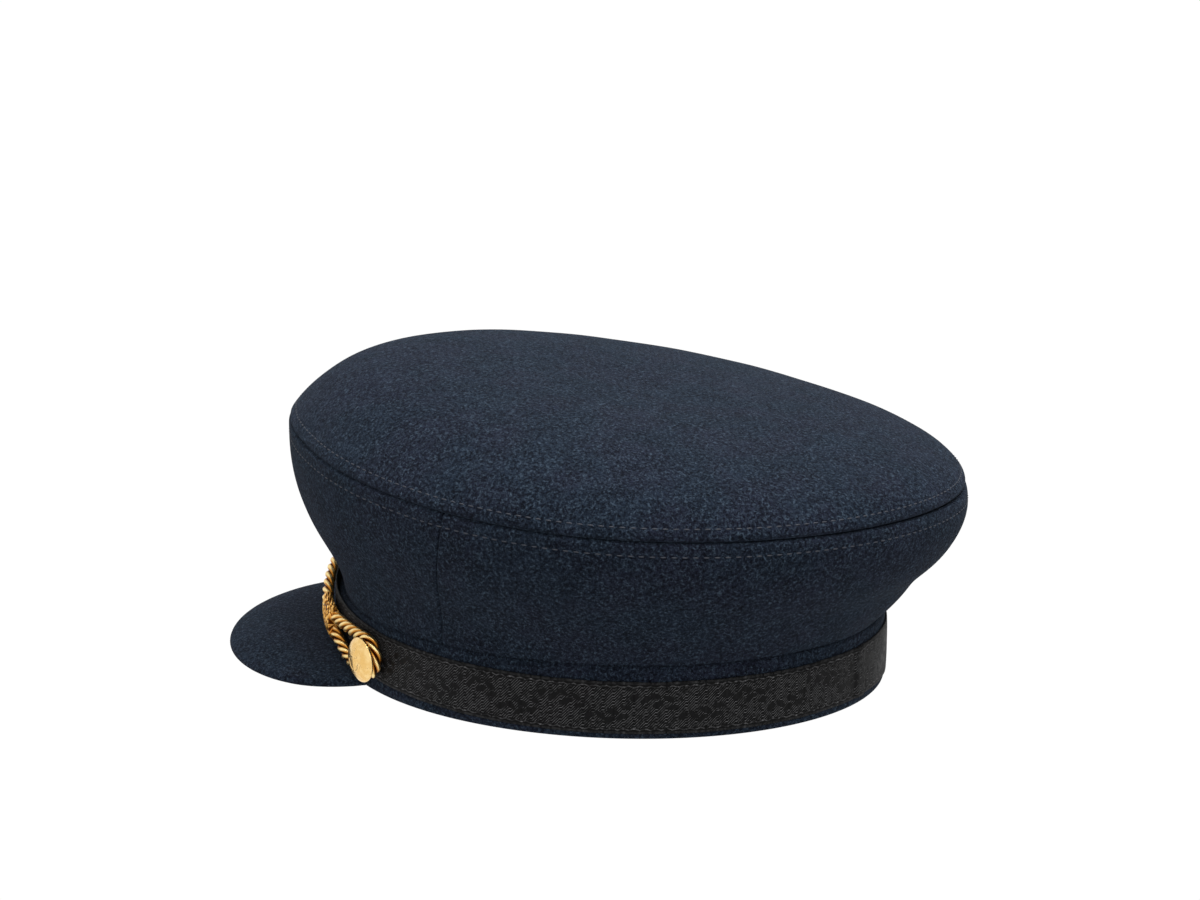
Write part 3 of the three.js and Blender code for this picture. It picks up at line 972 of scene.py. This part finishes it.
def rope(name, path):
    """Three strands twisted round a path."""
    line = Line(lambda t: path[round(t * (len(path) - 1))], len(path) - 1)
    strand_radius = ROPE_RADIUS / (1 + 1 / sin(pi / ROPE_STRANDS))
    away = ROPE_RADIUS - strand_radius
    ring_pitch = 0.45
    rope_reach = 0.5
    strand_reach = 0.2
    around = 14
    rings = round(line.length / ring_pitch)

    def middle(strand, length):
        """A point of a strand's middle line and the rope's middle beside it."""
        length = min(max(length, 0.0), line.length)
        point = line.at(length)
        ahead = line.at(min(length + rope_reach, line.length))
        ahead = ahead - line.at(max(length - rope_reach, 0.0))
        across = ahead.cross(outward_at(point)).normalized()
        outward = across.cross(ahead).normalized()
        angle = tau * (strand / ROPE_STRANDS - length / ROPE_LAY)
        return point + away * (outward * cos(angle) + across * sin(angle)), point

    whole = bmesh.new()
    for strand in range(ROPE_STRANDS):

        @functools.lru_cache(maxsize=None)
        def ring(i):
            length = line.length * i / rings
            centre, axis = middle(strand, length)
            ahead = middle(strand, length + strand_reach)[0]
            ahead = ahead - middle(strand, length - strand_reach)[0]
            out = (centre - axis).normalized()
            over = ahead.cross(out).normalized()
            return centre, out, over

        def place(across, up):
            centre, out, over = ring(round(up * rings))
            angle = tau * across
            point = centre + strand_radius * (out * cos(angle) + over * sin(angle))
            return point, (line.length * up, across), 0.0

        mesh = shaped_grid(around, rings, place, closed=True)
        fill_ends(mesh)
        bmesh.ops.recalc_face_normals(mesh, faces=mesh.faces)
        add_to(whole, mesh)
    return as_object(name, whole, rope_gold)


KeeperRing = namedtuple("KeeperRing", "along size")
KEEPER_RINGS = (
    KeeperRing(-1.0, 0.42),
    KeeperRing(-0.8, 0.56),
    KeeperRing(-0.3, 0.74),
    KeeperRing(0.2, 0.87),
    KeeperRing(0.7, 0.97),
    KeeperRing(1.0, 0.93),
)
KEEPER_GRAIN = 1.05
KEEPER_GIRTH = 17.0
GRAIN_SEED = 3
GRAIN_BEND = 0.5
GRAIN_BEND_WAVE = 0.7
GRAIN_ROUNDING = 0.45


def bent(spot, side):
    """The spot on a keeper moved so that its grains are uneven."""
    return spot + GRAIN_BEND * noise.noise_vector(spot * GRAIN_BEND_WAVE + Vector((0, 0, side)))


def keeper(name, side):
    """A sleeve cast with a rough, grained surface, the same on each run."""
    noise.seed_set(GRAIN_SEED)
    overrun = 1.06
    cap_share = 0.05

    def size_at(along):
        for low, high in zip(KEEPER_RINGS, KEEPER_RINGS[1:]):
            if along <= high.along:
                share = (along - low.along) / (high.along - low.along)
                return between(low.size, high.size, smooth(share))
        return KEEPER_RINGS[-1].size

    @functools.lru_cache(maxsize=None)
    def axis(along):
        middle = ornament_point(
            side * (KEEPER_PLACE + along * KEEPER_HALF_LENGTH),
            KEEPER_RISE + KEEPER_SLOPE * along * KEEPER_HALF_LENGTH,
        )
        return middle, outward_at(middle)

    def place(across, up):
        along = min(1.0, max(-1.0, (2 * up - 1) * overrun))
        cap = min(1.0, (1 - abs(2 * up - 1)) / cap_share)
        middle, outward = axis(along)
        size = size_at(along) * sqrt(max(0.0, 1 - (1 - cap) ** 2))
        spot = Vector((KEEPER_GIRTH * across, KEEPER_HALF_LENGTH * along, 0)) / KEEPER_GRAIN
        near, far = noise.voronoi(bent(spot, side))[0][:2]
        grain = smooth((far - near) / GRAIN_ROUNDING)
        relief = 1 - 2 * KEEPER_KNURL * (1 - grain)
        angle = tau * across
        point = middle + outward * (KEEPER_DEPTH / 2 * size * relief * cos(angle))
        point.z += KEEPER_HEIGHT / 2 * size * relief * sin(angle)
        return point, (grain, along), 0.0

    mesh = shaped_grid(150, 190, place, closed=True)
    fill_ends(mesh)
    bmesh.ops.recalc_face_normals(mesh, faces=mesh.faces)
    return as_object(name, mesh, keeper_gold)


def near_segment(point, start, end):
    """How far a point of the button's face is from a straight stroke."""
    run = end - start
    share = min(1.0, max(0.0, (point - start).dot(run) / run.length_squared))
    return (point - start - run * share).length


def anchor_relief(x, y):
    """The height of a plain anchor on the button's face, from 0 to 1."""
    shank_half = 0.42
    stock_half = 0.36
    ring_radius = 0.95
    ring_half = 0.32
    arm_radius = 3.3
    arm_drop = 0.6
    arm_end = radians(15)
    fluke_half = 0.55
    flank = 0.4

    point = Vector((x, y))
    strokes = [
        near_segment(point, Vector((0, 2.7)), Vector((0, -3.9))) - shank_half,
        near_segment(point, Vector((-1.9, 2.0)), Vector((1.9, 2.0))) - stock_half,
        abs((point - Vector((0, 3.7))).length - ring_radius) - ring_half,
    ]
    if arm_end - pi < atan2(y + arm_drop, x) < -arm_end:
        strokes.append(abs(hypot(x, y + arm_drop) - arm_radius) - shank_half)
    for side in (-1, 1):
        tip = Vector((3.2 * side, -1.4))
        strokes.append(near_segment(point, tip, tip + Vector((0.5 * side, 1.0))) - fluke_half)
    return 1 - smooth((min(strokes) + 0.15) / flank)


def button(name, side, replaced):
    """A shank, a turned disc and a flat dome with an anchor stamped on it."""
    figure_height = 0.18
    soften = 0.45
    dome_steps = 52
    dome_power = 1.5
    seat = oval_point(side * BUTTON_TURN, 0, BUTTON_RISE)
    outward = outward_at(seat)
    across_axis = Vector((0, 0, 1)).cross(outward)
    disc = ROPE_OUT + ROPE_RADIUS + GAP
    edge = disc + BUTTON_RIM - soften
    outline = [Vector((0, BAND_REACH + GAP)), Vector((SHANK_RADIUS, BAND_REACH + GAP))]
    outline += [Vector((SHANK_RADIUS, disc)), Vector((BUTTON_RADIUS - soften, disc))]
    for angle in arc(15, 90, 5):
        outline.append(
            Vector((BUTTON_RADIUS - soften * (1 - sin(angle)), disc + soften * (1 - cos(angle))))
        )
    for angle in arc(0, 90, dome_steps):
        rise = (BUTTON_DOME + soften) * sin(angle) ** dome_power
        outline.append(Vector((BUTTON_RADIUS * max(0.0, cos(angle)), edge + rise)))

    def place(across, up):
        spot = outline[round(up * (len(outline) - 1))]
        angle = tau * across
        x, y = spot.x * cos(angle), spot.x * sin(angle)
        height = spot.y
        relief = 0.0
        if height > edge:
            relief = anchor_relief(x, y)
            height += figure_height * relief
        point = seat + outward * height + across_axis * x + Vector((0, 0, y))
        return point, (relief, 0), 0.0

    mesh = shaped_grid(160, len(outline) - 1, place, closed=True)
    bmesh.ops.recalc_face_normals(mesh, faces=mesh.faces)
    return as_object(name, mesh, button_gold, [replaced])


# Stitches


def stitch(start, end, normal):
    """A short stitch of thread that goes into the cloth at both ends."""
    ahead = (end - start).normalized()
    side = ahead.cross(normal).normalized()

    def place(across, up):
        bow = sin(pi * up)
        centre = start.lerp(end, up) + normal * (STITCH_BOW * bow - STITCH_BED)
        radius = STITCH_RADIUS * between(STITCH_END, 1, bow)
        angle = tau * across
        return centre + radius * (normal * cos(angle) + side * sin(angle)), (across, up), 0.0

    mesh = shaped_grid(6, 6, place, closed=True)
    fill_ends(mesh)
    return mesh


def seam_frame(line, distance, beside):
    """A point at a distance along a line, and the cloth's normal there."""
    point = line.at(distance)
    up = line.at(distance + 0.5) - point
    normal = (beside.at(distance) - point).cross(up).normalized()
    if normal.dot(point - CROWN_INSIDE) < 0:
        normal.negate()
    return point, normal


def topstitching():
    """A row of stitches above the rim's seam and one below it."""
    whole = bmesh.new()
    count = round(rim_line.length / STITCH_PITCH)
    long = STITCH_LENGTH / rim_line.length * tau
    aside = 1e-3
    for line_at in (top_line, lambda turn: side_line(place_at_turn(turn))):
        for i in range(count):
            turn = tau * i / count
            start, normal = seam_frame(line_at(turn), STITCH_AWAY, line_at(turn + aside))
            end = line_at(turn + long).at(STITCH_AWAY)
            add_to(whole, stitch(start, end, normal))
    bmesh.ops.recalc_face_normals(whole, faces=whole.faces)
    return as_object("rim_topstitching", whole, thread)


crown_top()
side_panel("side_cloth_front", 0, 150, "side_panel_front")
side_panel("side_cloth_back", 1, 250, "side_panel_back")
head_band()
woven_ribbon()
peak()
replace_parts(rope("front_rope", front_path()), "rope_ornament")
rope("left_rope_loop", loop_path(1))
rope("right_rope_loop", loop_path(-1))
keeper("left_keeper", 1)
keeper("right_keeper", -1)
button("button_dome_left", 1, "button_left")
button("button_dome_right", -1, "button_right")
topstitching()


# Stage, light and camera


def floor():
    """A white sheet that shows no shadow, as in the photograph."""
    mesh = bmesh.new()
    bmesh.ops.create_grid(mesh, x_segments=1, y_segments=1, size=6.0)
    data = bpy.data.meshes.new("floor")
    mesh.to_mesh(data)
    mesh.free()
    made = bpy.data.objects.new("floor", data)
    bpy.context.scene.collection.objects.link(made)
    paper = Finish(
        "white_floor",
        {
            "Base Color": (0.0, 0.0, 0.0, 1.0),
            "Specular IOR Level": 0.0,
            "Emission Color": (1.0, 1.0, 1.0, 1.0),
            "Emission Strength": 1.02,
        },
    )
    data.materials.append(paper.material)


def softbox(name, place, size, power):
    """A rectangular light turned to the hat, placed in metres, with its power in watts."""
    light = bpy.data.lights.new(name, "AREA")
    light.shape = "RECTANGLE"
    light.size, light.size_y = size
    light.energy = power
    made = bpy.data.objects.new(name, light)
    made.location = place
    made.rotation_euler = (HEAD_CENTRE - Vector(place)).to_track_quat("-Z", "Y").to_euler()
    bpy.context.scene.collection.objects.link(made)


def studio():
    world = bpy.data.worlds.new("white_studio")
    world.use_nodes = True
    sky = world.node_tree.nodes["Background"]
    sky.inputs["Color"].default_value = (1.0, 1.0, 1.0, 1.0)
    sky.inputs["Strength"].default_value = 1.0
    bpy.context.scene.world = world
    bpy.context.scene.view_settings.view_transform = "Standard"
    softbox("overhead", place=(0.1, 0.25, 1.6), size=(1.2, 1.0), power=40)
    softbox("camera_side", place=(1.3, 0.6, 0.9), size=(0.5, 0.5), power=3)


PHOTO_WIDTH = 1200
PHOTO_HEIGHT = 900
CAMERA_TURN = radians(108)
CAMERA_RISE = radians(18.69)
CAMERA_AWAY = 1.2
FOCAL_PIXELS = 3159
HEAD_AT = (613.1, 658.7)


def photo_camera():
    """The photograph's view: the band's centre on the floor lies at HEAD_AT in the picture."""
    away = Vector(
        (
            sin(CAMERA_TURN) * cos(CAMERA_RISE),
            -cos(CAMERA_TURN) * cos(CAMERA_RISE),
            sin(CAMERA_RISE),
        )
    )
    right = Vector((cos(CAMERA_TURN), sin(CAMERA_TURN), 0))
    upward = away.cross(right)
    aim = (
        right * (PHOTO_WIDTH / 2 - HEAD_AT[0])
        + upward * (HEAD_AT[1] - PHOTO_HEIGHT / 2)
        - away * FOCAL_PIXELS
    )
    data = bpy.data.cameras.new("photo_camera")
    data.sensor_width = 36
    data.lens = FOCAL_PIXELS * data.sensor_width / PHOTO_WIDTH
    made = bpy.data.objects.new("photo_camera", data)
    made.location = HEAD_CENTRE + away * CAMERA_AWAY
    made.rotation_euler = aim.to_track_quat("-Z", "Y").to_euler()
    bpy.context.scene.collection.objects.link(made)
    bpy.context.scene.camera = made


floor()
studio()
photo_camera()
